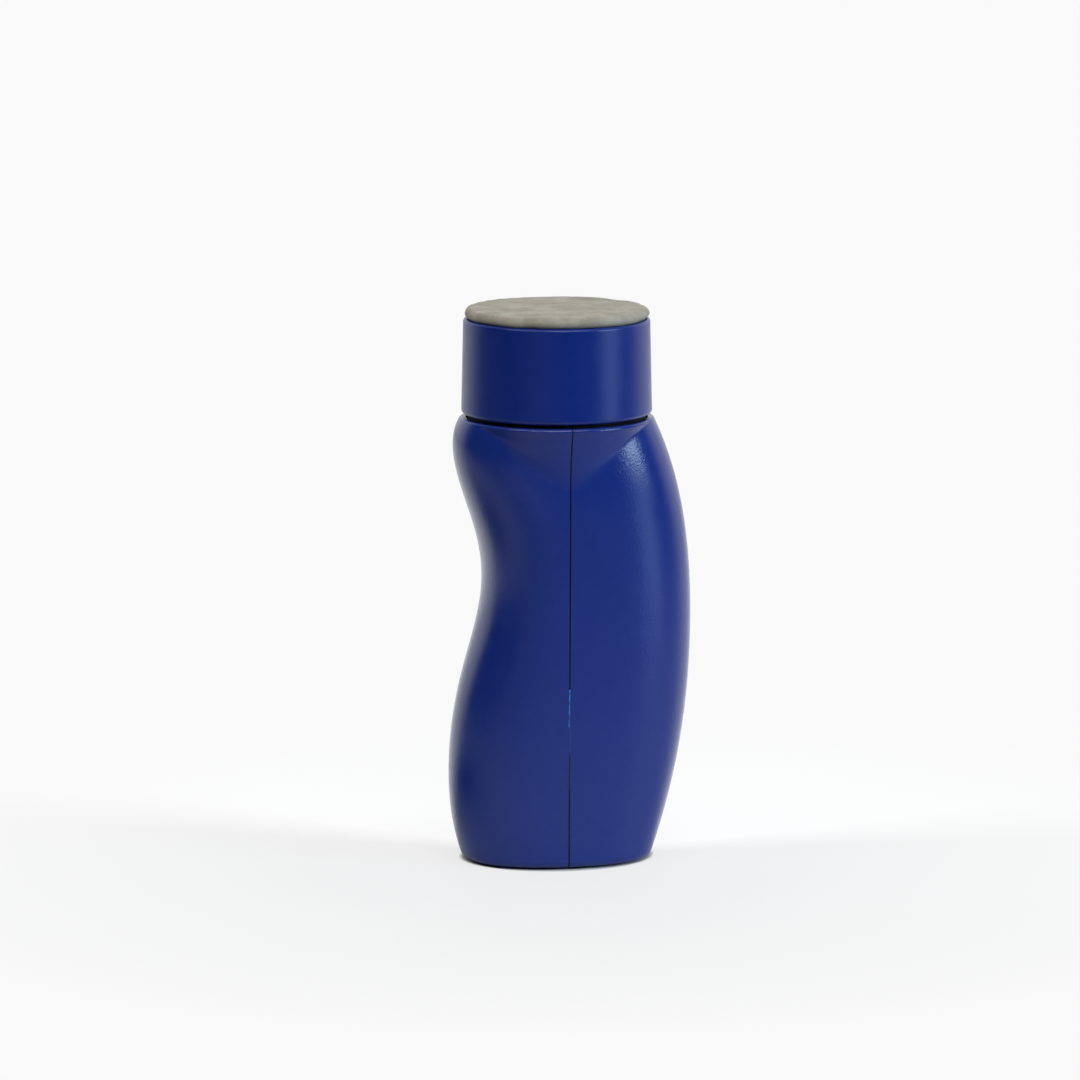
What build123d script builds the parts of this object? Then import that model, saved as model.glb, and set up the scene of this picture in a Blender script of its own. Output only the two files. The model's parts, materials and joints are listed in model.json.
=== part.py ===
from build123d import *
import os

# Painting handle for miniatures: a grip of two moulded half shells and a magnetic cap that spins
# on a ball bearing. Millimetres, with the origin on the spin axis at table height, +Z up,
# +X towards the palm and +Y towards the back.

# Grip outline from the side: heights above the table, drops below the rim, reaches from the axis
rim_height = 88.5
rim_step = 0.05
rim_overhang = 0.2
rim_lip = 0.6
thumb_swell_drop = 8.8
thumb_swell_reach = 20.3
thumb_ledge_drop = 16.0
thumb_ledge_reach = 18.25
waist_height = 57.0
waist_reach = 14.75
calf_height = 36.0
calf_reach = 19.2
heel_height = 19.0
heel_reach = 21.55
foot_finger_reach = 18.9
shoulder_drop = 11.6
shoulder_reach = 23.45
belly_height = 49.5
belly_reach = 26.75
palm_heel_height = 20.5
palm_heel_reach = 24.2
foot_palm_reach = 18.7
foot_lift = 0.4
foot_round = 1.4

# Grip outline from the front: half depths, and the round flare under the rim
foot_cheek_depth = 14.9
cheek_drop = 17.5
cheek_depth = 16.35
rim_cheek_depth = 15.0
flare_drop = 14.0
flare_tuck = 0.06
section_fullness = 0.64
section_count = 13

# Half shells
wall = 2.4
floor_thickness = 2.8
seam_gap = 0.16
rim_wall = 0.9
ledge_thickness = 3.0
rib_depth = 3.0
rib_thickness = 1.6
rib_count = 3
rib_height = 26.0
rib_pitch = 20.0
post_radius = 3.2
post_count = 2
post_height = 36.0
post_pitch = 20.0
peg_radius = 1.8
peg_length = 5.0
tongue_width = 0.8
tongue_height = 1.0
tongue_height_above_floor = 4.0
tongue_drop_below_ledge = 6.0

# Clearances
running_gap = 0.3
seat_clearance = 0.2
press_clearance = 0.01
screw_clearance = 0.02
cap_clearance = 0.13

# Foot
foot_pad_margin = 2.6
foot_recess = 0.8
ballast_thickness = 8.0
ballast_clearance = 0.6
ballast_chamfer = 0.8
foot_screw_x = 9.0
foot_screw_y = 6.0
foot_screw_head_radius = 2.8
foot_screw_head_height = 1.3
foot_screw_radius = 1.5
foot_screw_length = 7.5

# Bearing: 8 mm bore, 16 mm outside, 5 mm wide, shielded
bearing_bore = 8.0
bearing_outside = 16.0
bearing_width = 5.0
race_wall = 1.0
ball_diameter = 2.381
ball_count = 10
ball_clearance = 0.05
cage_clearance = 0.35
cage_height = 3.5
pocket_clearance = 0.08
shield_thickness = 0.25
shield_inset = 0.2
shield_step = 0.35
race_chamfer = 0.25

# Bearing carrier and its fixings
carrier_edge = 0.7
carrier_flange = 3.5
carrier_gap = 0.4
cup_wall = 1.8
cup_lip_height = 1.4
cup_lip_width = 0.8
circlip_thickness = 0.9
circlip_cover = 0.8
circlip_bite = 0.6
circlip_width = 1.5
circlip_opening = 40.0
eye_angle = 28.0
eye_radius = 1.0
carrier_screw_gap = 0.9
carrier_screw_count = 4
carrier_screw_angle = 45.0
carrier_screw_radius = 1.0
carrier_screw_head_radius = 1.7
carrier_screw_head_height = 1.3
carrier_screw_length = 8.0
carrier_screw_sink = 1.9
boss_radius = 2.6
boss_length = 6.0
drag_width = 4.0
drag_sink = 0.4

# Spindle and its fixings
shoulder_inset = 0.1
shoulder_length = 3.5
hexagon_flats = 7.0
hexagon_length = 5.0
race_pinch = 0.2
spindle_washer_thickness = 1.0
axle_screw_radius = 1.25
axle_screw_head_radius = 2.4
axle_screw_head_height = 1.6
spindle_screw_length = 6.0
hub_screw_length = 7.0
socket_flats = 2.0
socket_depth = 0.9

# Turntable hub
hub_sink = 1.6
hub_clamp = 2.0
hub_post_wall = 1.5
hub_post_inset = 0.5
plug_wall = 2.0
plug_chamfer = 0.6
hub_rib_count = 6
hub_rib_angle = 30.0
hub_rib_thickness = 1.6
hub_rib_height = 9.0
screw_access = 0.8

# Cap, magnet, keeper and putty
cap_gap = 0.7
cap_height = 18.8
cap_top_radius = 18.43
cap_draft = 0.42
cap_wall = 1.9
cap_roof = 2.4
cap_top_round = 0.6
cap_bottom_round = 0.8
key_count = 3
key_width = 2.4
key_depth = 1.1
key_lead = 1.0
magnet_radius = 6.0
magnet_thickness = 3.0
magnet_chamfer = 0.3
magnet_proud = 0.3
magnet_gap = 0.3
keeper_radius = 8.0
keeper_thickness = 1.8
collar_wall = 1.2
collar_height = 1.4
putty_inset = 0.33
putty_thickness = 2.2
putty_round = 0.9

# Heights that follow from the sizes above
lip_bottom = rim_height - rim_lip
flare_bottom = rim_height - flare_drop
floor_bottom = foot_lift + foot_recess
floor_top = floor_bottom + floor_thickness
carrier_top = rim_height - hub_sink - carrier_gap
ledge_top = carrier_top - carrier_flange
ledge_bottom = ledge_top - ledge_thickness
bearing_top = carrier_top - circlip_cover - circlip_thickness
bearing_bottom = bearing_top - bearing_width
bearing_middle = bearing_top - bearing_width / 2
hub_bottom = rim_height - hub_sink
hub_seat = bearing_top + shoulder_length
hexagon_top = hub_seat + hexagon_length
clamp_bottom = hexagon_top + seat_clearance
clamp_top = clamp_bottom + hub_clamp
cap_bottom = rim_height + cap_gap
cap_top = cap_bottom + cap_height
roof_bottom = cap_top - cap_roof
keeper_bottom = roof_bottom - keeper_thickness
magnet_top = keeper_bottom - magnet_gap
magnet_bottom = magnet_top - magnet_thickness
plug_top = magnet_top - magnet_proud
drag_bottom = carrier_top - drag_sink

# Radii that follow from the sizes above
rim_radius = cap_top_radius + cap_draft + rim_step
rim_reach = rim_radius + rim_overhang
putty_radius = cap_top_radius - putty_inset
recess_radius = rim_radius - rim_wall
hub_flange_radius = recess_radius - running_gap
cap_bore_radius = cap_top_radius - cap_wall
plug_radius = cap_bore_radius - cap_clearance
bearing_outer_radius = bearing_outside / 2
bearing_inner_radius = bearing_bore / 2
inner_race_radius = bearing_inner_radius + race_wall
outer_race_radius = bearing_outer_radius - race_wall
pitch_radius = (inner_race_radius + outer_race_radius) / 2
ball_radius = ball_diameter / 2
shoulder_radius = inner_race_radius - shoulder_inset
cup_radius = bearing_outer_radius + cup_wall
counterbore_radius = carrier_screw_head_radius + seat_clearance
carrier_screw_circle = cup_radius + carrier_screw_gap + counterbore_radius
carrier_radius = carrier_screw_circle + carrier_screw_head_radius + carrier_edge
hub_post_radius = magnet_radius + hub_post_wall
drag_inner_radius = carrier_screw_circle - drag_width / 2
drag_outer_radius = carrier_screw_circle + drag_width / 2

# Side profiles of the grip, with the distance from the axis across and the height up
with BuildLine() as finger_profile:
    Spline(
        (rim_reach, rim_height),
        (thumb_swell_reach, rim_height - thumb_swell_drop),
        (thumb_ledge_reach, rim_height - thumb_ledge_drop),
        (waist_reach, waist_height),
        (calf_reach, calf_height),
        (heel_reach, heel_height),
        (foot_finger_reach, foot_lift),
    )

with BuildLine() as palm_profile:
    Spline(
        (rim_reach, rim_height),
        (shoulder_reach, rim_height - shoulder_drop),
        (belly_reach, belly_height),
        (palm_heel_reach, palm_heel_height),
        (foot_palm_reach, foot_lift),
    )

with BuildLine() as cheek_profile:
    cheek_line = Line((foot_cheek_depth, foot_lift), (cheek_depth, rim_height - cheek_drop))
    TangentArc(cheek_line @ 1, (rim_cheek_depth, rim_height), tangent=cheek_line % 1)


def reach_at(profile, height):
    """Distance from the spin axis to a side profile at one height."""
    level = Edge.make_line((0, height), (4 * rim_radius, height))
    return profile.line.distance_to_with_closest_points(level)[1].X


def spaced(bottom, top, count):
    """Evenly spaced heights from bottom to top."""
    return [bottom + (top - bottom) * step / (count - 1) for step in range(count)]


def grip_oval(height, inset):
    """Full oval of the grip at one height, drawn in by inset all round."""
    finger = reach_at(finger_profile, height) - inset
    palm = reach_at(palm_profile, height) - inset
    cheek = reach_at(cheek_profile, height) - inset
    tips = [Vector(0, -cheek), Vector(palm, 0), Vector(0, cheek), Vector(-finger, 0)]
    with BuildSketch() as oval:
        with BuildLine():
            for start, end in zip(tips, tips[1:] + tips[:1]):
                corner = start + end
                leave = start + (corner - start) * section_fullness
                arrive = end + (corner - end) * section_fullness
                Bezier(start, leave, arrive, end)
        make_face()
    return oval.sketch


def seam_band(outer_inset, inner_inset, bottom, top):
    """Strip of the seam plane that follows the front and back walls between two depths."""
    heights = spaced(bottom, top, section_count // 2)
    depths = [reach_at(cheek_profile, height) for height in heights]
    with BuildSketch() as band:
        with BuildLine():
            outer = Spline([(depth - outer_inset, height) for depth, height in zip(depths, heights)])
            inner = Spline([(depth - inner_inset, height) for depth, height in zip(depths, heights)])
            Line(outer @ 0, inner @ 0)
            Line(outer @ 1, inner @ 1)
        make_face()
        mirror(about=Plane.YZ)
    return band.sketch


post_heights = [post_height + post_pitch * step for step in range(post_count)]
rib_heights = [rib_height + rib_pitch * step for step in range(rib_count)]
foot_screw_places = [(x, y) for x in (-foot_screw_x, foot_screw_x) for y in (-foot_screw_y, foot_screw_y)]

# Whole grip before it is parted: oval body, flare under the rim, hollow, ledge, bosses, ribs and posts
with BuildPart() as grip:
    for height in spaced(foot_lift, rim_height, section_count):
        with BuildSketch(Plane.XY.offset(height)):
            add(grip_oval(height, 0))
    loft()
    fillet(grip.edges().group_by(Axis.Z)[0], foot_round)
    fillet(grip.edges().group_by(Axis.Z)[-1], rim_lip)
    flare_start = reach_at(cheek_profile, flare_bottom) - flare_tuck
    with BuildSketch(Plane.XZ):
        with BuildLine():
            Line((0, flare_bottom), (flare_start, flare_bottom))
            TangentArc((flare_start, flare_bottom), (rim_radius, lip_bottom), tangent=(0, 1))
            RadiusArc((rim_radius, lip_bottom), (rim_radius - rim_lip, rim_height), -rim_lip)
            Line((rim_radius - rim_lip, rim_height), (0, rim_height))
            Line((0, rim_height), (0, flare_bottom))
        make_face()
    revolve(axis=Axis.Z)
    for height in spaced(floor_top, ledge_bottom, section_count):
        with BuildSketch(Plane.XY.offset(height)):
            add(grip_oval(height, wall))
    loft(mode=Mode.SUBTRACT)
    for height in rib_heights:
        with BuildSketch(Plane.XY.offset(height)):
            add(grip_oval(height, wall / 2))
            add(grip_oval(height, wall + rib_depth), mode=Mode.SUBTRACT)
        extrude(amount=rib_thickness)
    for height in post_heights:
        finger_end = reach_at(finger_profile, height) - wall / 2
        palm_end = reach_at(palm_profile, height) - wall / 2
        with BuildSketch(Plane.YZ.offset(-finger_end)):
            with Locations((0, height)):
                Circle(post_radius)
        extrude(amount=finger_end + palm_end)
    with BuildSketch(Plane.XY.offset(ledge_bottom)):
        with PolarLocations(carrier_screw_circle, carrier_screw_count, start_angle=carrier_screw_angle):
            Circle(boss_radius)
    extrude(amount=-boss_length)
    with BuildSketch(Plane.XY.offset(ledge_top)):
        with PolarLocations(carrier_screw_circle, carrier_screw_count, start_angle=carrier_screw_angle):
            Circle(carrier_screw_radius + screw_clearance)
    extrude(amount=-carrier_screw_length, mode=Mode.SUBTRACT)
    with BuildSketch(Plane.XY.offset(ledge_bottom)):
        Circle(cup_radius + seat_clearance)
    extrude(amount=ledge_thickness, mode=Mode.SUBTRACT)
    with BuildSketch(Plane.XY.offset(ledge_top)):
        Circle(carrier_radius + seat_clearance)
    extrude(amount=carrier_flange, mode=Mode.SUBTRACT)
    with BuildSketch(Plane.XY.offset(carrier_top)):
        Circle(recess_radius)
    extrude(amount=rim_height - carrier_top, mode=Mode.SUBTRACT)
    with BuildSketch(Plane.XY.offset(foot_lift)):
        add(grip_oval(foot_lift, foot_pad_margin))
    extrude(amount=foot_recess, mode=Mode.SUBTRACT)
    with Locations(*[Location((x, y, floor_bottom), (180, 0, 0)) for x, y in foot_screw_places]):
        CounterSinkHole(
            foot_screw_radius + screw_clearance,
            foot_screw_head_radius + screw_clearance,
            depth=floor_thickness,
        )

# Finger-side half of the grip, with the tongue and the pegs
tongue_inset = (wall - tongue_width) / 2
tongue_bottom = floor_top + tongue_height_above_floor
tongue_top = ledge_bottom - tongue_drop_below_ledge
with BuildPart() as finger_shell:
    add(grip.part)
    split(bisect_by=Plane.YZ.offset(-seam_gap / 2), keep=Keep.BOTTOM)
    with BuildSketch(Plane.YZ.offset(-seam_gap / 2)):
        add(seam_band(tongue_inset, tongue_inset + tongue_width, tongue_bottom, tongue_top))
    extrude(amount=tongue_height)
    with BuildSketch(Plane.YZ.offset(-seam_gap / 2)):
        with Locations(*[(0, height) for height in post_heights]):
            Circle(peg_radius)
    extrude(amount=peg_length)
finger_shell.part.label = "finger_shell"

# Palm-side half of the grip, with the groove and the sockets
groove_inset = tongue_inset - seat_clearance / 2
groove_width = tongue_width + seat_clearance
with BuildPart() as palm_shell:
    add(grip.part)
    split(bisect_by=Plane.YZ.offset(seam_gap / 2), keep=Keep.TOP)
    with BuildSketch(Plane.YZ.offset(seam_gap / 2)):
        add(
            seam_band(
                groove_inset,
                groove_inset + groove_width,
                tongue_bottom - seat_clearance,
                tongue_top + seat_clearance,
            )
        )
    extrude(amount=tongue_height, mode=Mode.SUBTRACT)
    with BuildSketch(Plane.YZ.offset(seam_gap / 2)):
        with Locations(*[(0, height) for height in post_heights]):
            Circle(peg_radius + screw_clearance)
    extrude(amount=peg_length, mode=Mode.SUBTRACT)
palm_shell.part.label = "palm_shell"

# Non-slip pad in the recess under the foot
with BuildPart() as foot_pad:
    with BuildSketch():
        add(grip_oval(foot_lift, foot_pad_margin + seat_clearance))
    extrude(amount=floor_bottom)
foot_pad.part.label = "foot_pad"

# Steel plate on the floor of the grip, tapped for the foot screws
with BuildPart() as ballast_plate:
    with BuildSketch(Plane.XY.offset(floor_top)):
        add(grip_oval(floor_top, wall + ballast_clearance))
    extrude(amount=ballast_thickness)
    chamfer(ballast_plate.faces().sort_by(Axis.Z)[-1].edges(), ballast_chamfer)
    with BuildSketch(Plane.XY.offset(floor_top)):
        with Locations(*foot_screw_places):
            Circle(foot_screw_radius + screw_clearance)
    extrude(amount=ballast_thickness, mode=Mode.SUBTRACT)
ballast_plate.part.label = "ballast_plate"

# Countersunk screws that tie both half shells to the steel plate
with BuildPart() as foot_screw:
    with BuildSketch(Plane.XZ):
        with BuildLine():
            Polyline(
                (0, 0),
                (foot_screw_head_radius, 0),
                (foot_screw_radius, foot_screw_head_height),
                (foot_screw_radius, foot_screw_length),
                (0, foot_screw_length),
                close=True,
            )
        make_face()
    revolve(axis=Axis.Z)
    with BuildSketch():
        RegularPolygon(socket_flats / 2, 6, major_radius=False)
    extrude(amount=socket_depth, mode=Mode.SUBTRACT)

with BuildPart() as foot_screws:
    with Locations(*[(x, y, floor_bottom) for x, y in foot_screw_places]):
        add(foot_screw.part)
foot_screws.part.label = "foot_screws"

# Cup that holds the bearing, bolted to the ledge inside the shells
with BuildPart() as bearing_carrier:
    with BuildSketch(Plane.XY.offset(bearing_bottom - cup_lip_height)):
        Circle(cup_radius)
    extrude(amount=carrier_top - bearing_bottom + cup_lip_height)
    with BuildSketch(Plane.XY.offset(ledge_top)):
        Circle(carrier_radius)
    extrude(amount=carrier_flange)
    with BuildSketch(Plane.XY.offset(bearing_bottom - cup_lip_height)):
        Circle(bearing_outer_radius - cup_lip_width)
    extrude(amount=cup_lip_height, mode=Mode.SUBTRACT)
    with BuildSketch(Plane.XY.offset(bearing_bottom)):
        Circle(bearing_outer_radius + press_clearance)
    extrude(amount=carrier_top - bearing_bottom, mode=Mode.SUBTRACT)
    with BuildSketch(Plane.XY.offset(bearing_top)):
        Circle(bearing_outer_radius + circlip_bite + press_clearance)
    extrude(amount=circlip_thickness + press_clearance, mode=Mode.SUBTRACT)
    with BuildSketch(Plane.XY.offset(drag_bottom)):
        Circle(drag_outer_radius + seat_clearance)
        Circle(drag_inner_radius - seat_clearance, mode=Mode.SUBTRACT)
    extrude(amount=drag_sink, mode=Mode.SUBTRACT)
    with Locations(Plane.XY.offset(carrier_top)):
        with PolarLocations(carrier_screw_circle, carrier_screw_count, start_angle=carrier_screw_angle):
            CounterBoreHole(
                carrier_screw_radius + screw_clearance,
                counterbore_radius,
                carrier_screw_sink,
                depth=carrier_flange,
            )
bearing_carrier.part.label = "bearing_carrier"


def pan_screw(radius, length, head_radius, head_height):
    """Screw along Z with its head above the XY plane and a hexagon socket in the head."""
    with BuildPart() as screw:
        with BuildSketch():
            Circle(radius)
        extrude(amount=-length)
        with BuildSketch():
            Circle(head_radius)
        extrude(amount=head_height)
        fillet(screw.edges().group_by(Axis.Z)[-1], head_height / 3)
        with BuildSketch(Plane.XY.offset(head_height)):
            RegularPolygon(socket_flats / 2, 6, major_radius=False)
        extrude(amount=-socket_depth, mode=Mode.SUBTRACT)
    return screw.part


# Screws that hold the carrier down on the bosses of both shells
carrier_screw = pan_screw(
    carrier_screw_radius,
    carrier_screw_length,
    carrier_screw_head_radius,
    carrier_screw_head_height,
)
with BuildPart() as carrier_screws:
    with Locations(Plane.XY.offset(carrier_top - carrier_screw_sink)):
        with PolarLocations(carrier_screw_circle, carrier_screw_count, start_angle=carrier_screw_angle):
            add(carrier_screw)
carrier_screws.part.label = "carrier_screws"

# Outer race, pressed into the carrier, with a step for a shield at each end
with BuildPart() as bearing_outer_race:
    with BuildSketch(Plane.XZ):
        with Locations((bearing_outer_radius - race_wall / 2, bearing_middle)):
            Rectangle(race_wall, bearing_width)
        with Locations((pitch_radius, bearing_middle)):
            Circle(ball_radius + ball_clearance, mode=Mode.SUBTRACT)
        with Locations((outer_race_radius, bearing_bottom), (outer_race_radius, bearing_top)):
            Rectangle(2 * shield_step, 2 * (shield_inset + shield_thickness), mode=Mode.SUBTRACT)
    revolve(axis=Axis.Z)
    race_ends = bearing_outer_race.faces().filter_by(Axis.Z).edges()
    chamfer(race_ends.group_by(SortBy.RADIUS)[-1], race_chamfer)
bearing_outer_race.part.label = "bearing_outer_race"

# Inner race, clamped on the spindle
with BuildPart() as bearing_inner_race:
    with BuildSketch(Plane.XZ):
        with Locations((bearing_inner_radius + race_wall / 2, bearing_middle)):
            Rectangle(race_wall, bearing_width)
        with Locations((pitch_radius, bearing_middle)):
            Circle(ball_radius + ball_clearance, mode=Mode.SUBTRACT)
    revolve(axis=Axis.Z)
    race_ends = bearing_inner_race.faces().filter_by(Axis.Z).edges()
    chamfer(race_ends.group_by(SortBy.RADIUS)[0], race_chamfer)
bearing_inner_race.part.label = "bearing_inner_race"

# Balls on the pitch circle
with BuildPart() as bearing_balls:
    with Locations(Plane.XY.offset(bearing_middle)):
        with PolarLocations(pitch_radius, ball_count):
            Sphere(ball_radius)
bearing_balls.part.label = "bearing_balls"

# Ring that spaces the balls, with a pocket bored through for each
with BuildPart() as bearing_cage:
    with BuildSketch(Plane.XY.offset(bearing_middle)):
        Circle(outer_race_radius - cage_clearance)
        Circle(inner_race_radius + cage_clearance, mode=Mode.SUBTRACT)
    extrude(amount=cage_height / 2, both=True)
    with Locations(Plane.XY.offset(bearing_middle)):
        with PolarLocations(pitch_radius, ball_count):
            Cylinder(
                ball_radius + pocket_clearance,
                outer_race_radius - inner_race_radius,
                rotation=(0, 90, 0),
                mode=Mode.SUBTRACT,
            )
bearing_cage.part.label = "bearing_cage"

# Thin steel shields on the steps of the outer race
shield_bottoms = [bearing_bottom + shield_inset, bearing_top - shield_inset - shield_thickness]
with BuildPart() as bearing_shields:
    for shield_bottom in shield_bottoms:
        with BuildSketch(Plane.XY.offset(shield_bottom)):
            Circle(outer_race_radius + shield_step - press_clearance)
            Circle(inner_race_radius + running_gap, mode=Mode.SUBTRACT)
        extrude(amount=shield_thickness)
bearing_shields.part.label = "bearing_shields"

# Open spring ring that keeps the outer race down, with two eyes for pliers
circlip_radius = bearing_outer_radius + circlip_bite
circlip_inner_radius = circlip_radius - circlip_width
with BuildPart() as bearing_circlip:
    with BuildSketch(Plane.XY.offset(bearing_top)):
        Circle(circlip_radius)
        Circle(circlip_inner_radius, mode=Mode.SUBTRACT)
        with BuildLine():
            cut_start = PolarLine((0, 0), 2 * circlip_radius, -circlip_opening / 2)
            cut_end = PolarLine((0, 0), 2 * circlip_radius, circlip_opening / 2)
            Line(cut_start @ 1, cut_end @ 1)
        make_face(mode=Mode.SUBTRACT)
        for angle in (-eye_angle, eye_angle):
            with PolarLocations(circlip_inner_radius, 1, start_angle=angle):
                Circle(eye_radius)
                Circle(eye_radius / 2, mode=Mode.SUBTRACT)
    extrude(amount=circlip_thickness)
bearing_circlip.part.label = "bearing_circlip"

# Felt ring that damps the spin and covers the carrier screws
with BuildPart() as drag_washer:
    with BuildSketch(Plane.XY.offset(drag_bottom)):
        Circle(drag_outer_radius)
        Circle(drag_inner_radius, mode=Mode.SUBTRACT)
    extrude(amount=hub_bottom - drag_bottom)
drag_washer.part.label = "drag_washer"

# Stub axle: journal in the inner race, shoulder on top of it, hexagon that drives the hub
with BuildPart() as spindle:
    with BuildSketch(Plane.XY.offset(bearing_bottom + race_pinch)):
        Circle(bearing_inner_radius - press_clearance)
    extrude(amount=bearing_width - race_pinch)
    with BuildSketch(Plane.XY.offset(bearing_top)):
        Circle(shoulder_radius)
    extrude(amount=shoulder_length)
    with BuildSketch(Plane.XY.offset(hub_seat)):
        RegularPolygon(hexagon_flats / 2, 6, major_radius=False)
    extrude(amount=hexagon_length)
    with BuildSketch(Plane.XY.offset(bearing_bottom + race_pinch)):
        Circle(axle_screw_radius + screw_clearance)
    extrude(amount=spindle_screw_length - spindle_washer_thickness, mode=Mode.SUBTRACT)
    with BuildSketch(Plane.XY.offset(hexagon_top)):
        Circle(axle_screw_radius + screw_clearance)
    extrude(amount=hub_clamp - hub_screw_length, mode=Mode.SUBTRACT)
spindle.part.label = "spindle"

# Washer that clamps the inner race against the shoulder
with BuildPart() as spindle_washer:
    with BuildSketch(Plane.XY.offset(bearing_bottom)):
        Circle(shoulder_radius)
        Circle(axle_screw_radius + seat_clearance, mode=Mode.SUBTRACT)
    extrude(amount=-spindle_washer_thickness)
spindle_washer.part.label = "spindle_washer"

# Screw under the spindle washer, head down
lower_screw = pan_screw(
    axle_screw_radius,
    spindle_screw_length,
    axle_screw_head_radius,
    axle_screw_head_height,
)
with BuildPart() as spindle_screw:
    with Locations(Location((0, 0, bearing_bottom - spindle_washer_thickness), (180, 0, 0))):
        add(lower_screw)
spindle_screw.part.label = "spindle_screw"

# Black hub: flange seen in the slit, plug that the cap drops over, ribbed post for the magnet
with BuildPart() as turntable_hub:
    with BuildSketch(Plane.XY.offset(hub_bottom)):
        Circle(hub_flange_radius)
    extrude(amount=cap_bottom - hub_bottom)
    with BuildSketch(Plane.XY.offset(cap_bottom)):
        Circle(plug_radius)
    extrude(amount=plug_top - cap_bottom)
    chamfer(turntable_hub.edges().group_by(Axis.Z)[-1], plug_chamfer)
    with BuildSketch(Plane.XY.offset(cap_bottom)):
        Circle(plug_radius - plug_wall)
        Circle(hub_post_radius, mode=Mode.SUBTRACT)
    extrude(amount=plug_top - cap_bottom, mode=Mode.SUBTRACT)
    rib_start = hub_post_radius - hub_post_inset
    rib_end = plug_radius - plug_wall / 2
    with BuildSketch(Plane.XY.offset(cap_bottom)):
        with PolarLocations((rib_start + rib_end) / 2, hub_rib_count, start_angle=hub_rib_angle):
            Rectangle(rib_end - rib_start, hub_rib_thickness)
    extrude(amount=hub_rib_height)
    with BuildSketch(Plane.XY.offset(cap_bottom)):
        with PolarLocations(plug_radius, key_count):
            Rectangle(2 * (key_depth + seat_clearance), key_width + 2 * seat_clearance)
    extrude(amount=plug_top - cap_bottom, mode=Mode.SUBTRACT)
    with BuildSketch(Plane.XY.offset(hub_bottom)):
        Circle(shoulder_radius + seat_clearance)
    extrude(amount=hub_seat - hub_bottom, mode=Mode.SUBTRACT)
    with BuildSketch(Plane.XY.offset(hub_seat)):
        RegularPolygon(hexagon_flats / 2 + screw_clearance, 6, major_radius=False)
    extrude(amount=clamp_bottom - hub_seat, mode=Mode.SUBTRACT)
    with BuildSketch(Plane.XY.offset(clamp_bottom)):
        Circle(axle_screw_radius + seat_clearance)
    extrude(amount=hub_clamp, mode=Mode.SUBTRACT)
    with BuildSketch(Plane.XY.offset(clamp_top)):
        Circle(axle_screw_head_radius + screw_access)
    extrude(amount=plug_top - clamp_top, mode=Mode.SUBTRACT)
    with BuildSketch(Plane.XY.offset(magnet_bottom)):
        Circle(magnet_radius + screw_clearance)
    extrude(amount=plug_top - magnet_bottom, mode=Mode.SUBTRACT)
turntable_hub.part.label = "turntable_hub"

# Screw that clamps the hub on the spindle
upper_screw = pan_screw(
    axle_screw_radius,
    hub_screw_length,
    axle_screw_head_radius,
    axle_screw_head_height,
)
with BuildPart() as hub_screw:
    with Locations((0, 0, clamp_top)):
        add(upper_screw)
hub_screw.part.label = "hub_screw"

# Disc magnet in the top of the post
with BuildPart() as hub_magnet:
    with BuildSketch(Plane.XY.offset(magnet_bottom)):
        Circle(magnet_radius)
    extrude(amount=magnet_thickness)
    chamfer(hub_magnet.edges().filter_by(GeomType.CIRCLE), magnet_chamfer)
hub_magnet.part.label = "hub_magnet"

# Cap: drafted cup with keys inside that slide down the notches of the plug
with BuildPart() as cap:
    with BuildSketch(Plane.XZ):
        with BuildLine():
            Polyline(
                (cap_bore_radius, cap_bottom),
                (cap_top_radius + cap_draft, cap_bottom),
                (cap_top_radius, cap_top),
                (0, cap_top),
                (0, roof_bottom),
                (cap_bore_radius, roof_bottom),
                close=True,
            )
        make_face()
    revolve(axis=Axis.Z)
    fillet(cap.edges().group_by(Axis.Z)[-1], cap_top_round)
    fillet(cap.edges().group_by(Axis.Z)[0].sort_by(SortBy.RADIUS)[-1], cap_bottom_round)
    key_root = cap_wall / 2
    with BuildSketch(Plane.XY.offset(cap_bottom + key_lead)):
        with PolarLocations(cap_bore_radius + (key_root - key_depth) / 2, key_count):
            Rectangle(key_depth + key_root, key_width)
    extrude(amount=roof_bottom - cap_bottom - key_lead)
    with BuildSketch(Plane.XY.offset(roof_bottom)):
        Circle(keeper_radius + seat_clearance + collar_wall)
        Circle(keeper_radius + seat_clearance, mode=Mode.SUBTRACT)
    extrude(amount=-collar_height)
cap.part.label = "cap"

# Steel disc under the roof of the cap
with BuildPart() as keeper_plate:
    with BuildSketch(Plane.XY.offset(keeper_bottom)):
        Circle(keeper_radius)
    extrude(amount=keeper_thickness)
keeper_plate.part.label = "keeper_plate"

# Layer of putty pressed on the cap
with BuildPart() as putty_pad:
    with BuildSketch(Plane.XY.offset(cap_top)):
        Circle(putty_radius)
    extrude(amount=putty_thickness)
    fillet(putty_pad.edges().group_by(Axis.Z)[-1], putty_round)
putty_pad.part.label = "putty_pad"

pieces = [
    finger_shell,
    palm_shell,
    foot_pad,
    ballast_plate,
    foot_screws,
    bearing_carrier,
    carrier_screws,
    bearing_outer_race,
    bearing_inner_race,
    bearing_balls,
    bearing_cage,
    bearing_shields,
    bearing_circlip,
    drag_washer,
    spindle,
    spindle_washer,
    spindle_screw,
    turntable_hub,
    hub_screw,
    hub_magnet,
    cap,
    keeper_plate,
    putty_pad,
]
os.makedirs("parts", exist_ok=True)
for piece in pieces:
    export_step(piece.part, f"parts/{piece.part.label}.step")
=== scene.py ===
import json
import math

import bmesh
import bpy
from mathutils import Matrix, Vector, noise
from mathutils.bvhtree import BVHTree


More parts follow.
